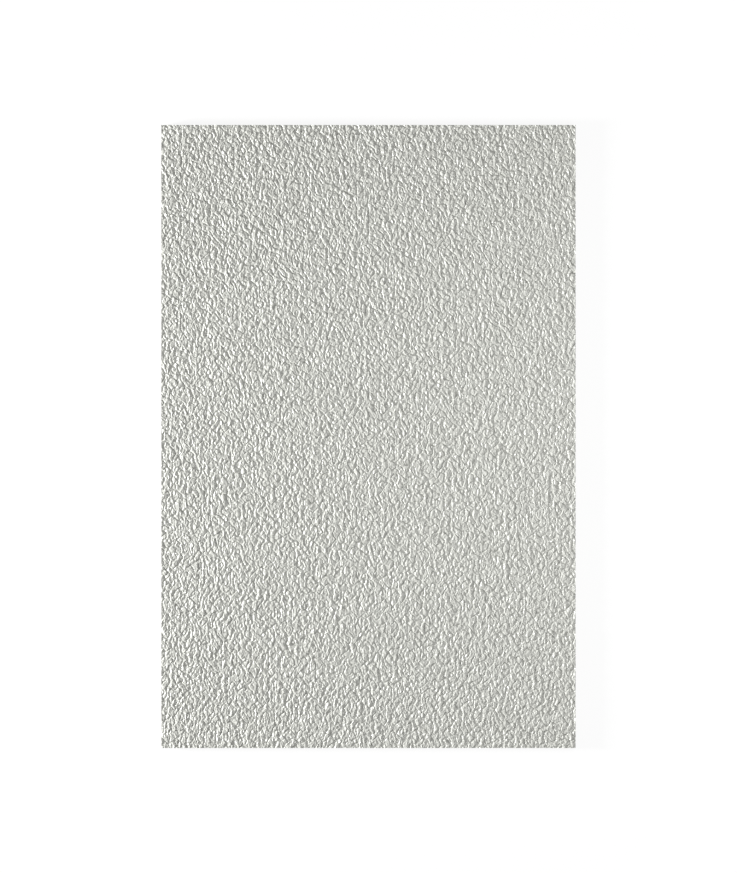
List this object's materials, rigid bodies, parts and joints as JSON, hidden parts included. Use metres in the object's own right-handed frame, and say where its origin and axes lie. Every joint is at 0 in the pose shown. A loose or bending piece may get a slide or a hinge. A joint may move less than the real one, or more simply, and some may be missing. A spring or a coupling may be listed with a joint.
{
  "type": "fibreboard ceiling panel",
  "caption": "Flat rectangular ceiling board with square cut edges and a white painted face embossed all over with fine irregular pebbles.",
  "frame": {"origin": "middle of the flat back face", "axes": "+X across the board, +Y along its length, +Z out of the pebbled face that the room sees; stored lying on its back"},
  "size_m": [0.595, 0.895, 0.012],
  "materials": {
    "painted_fibreboard": "off-white satin paint on the pressed face, bare fibre at the cut edges and back"
  },
  "bodies": {
    "root": {"panel": "painted_fibreboard"}
  },
  "joints": []
}
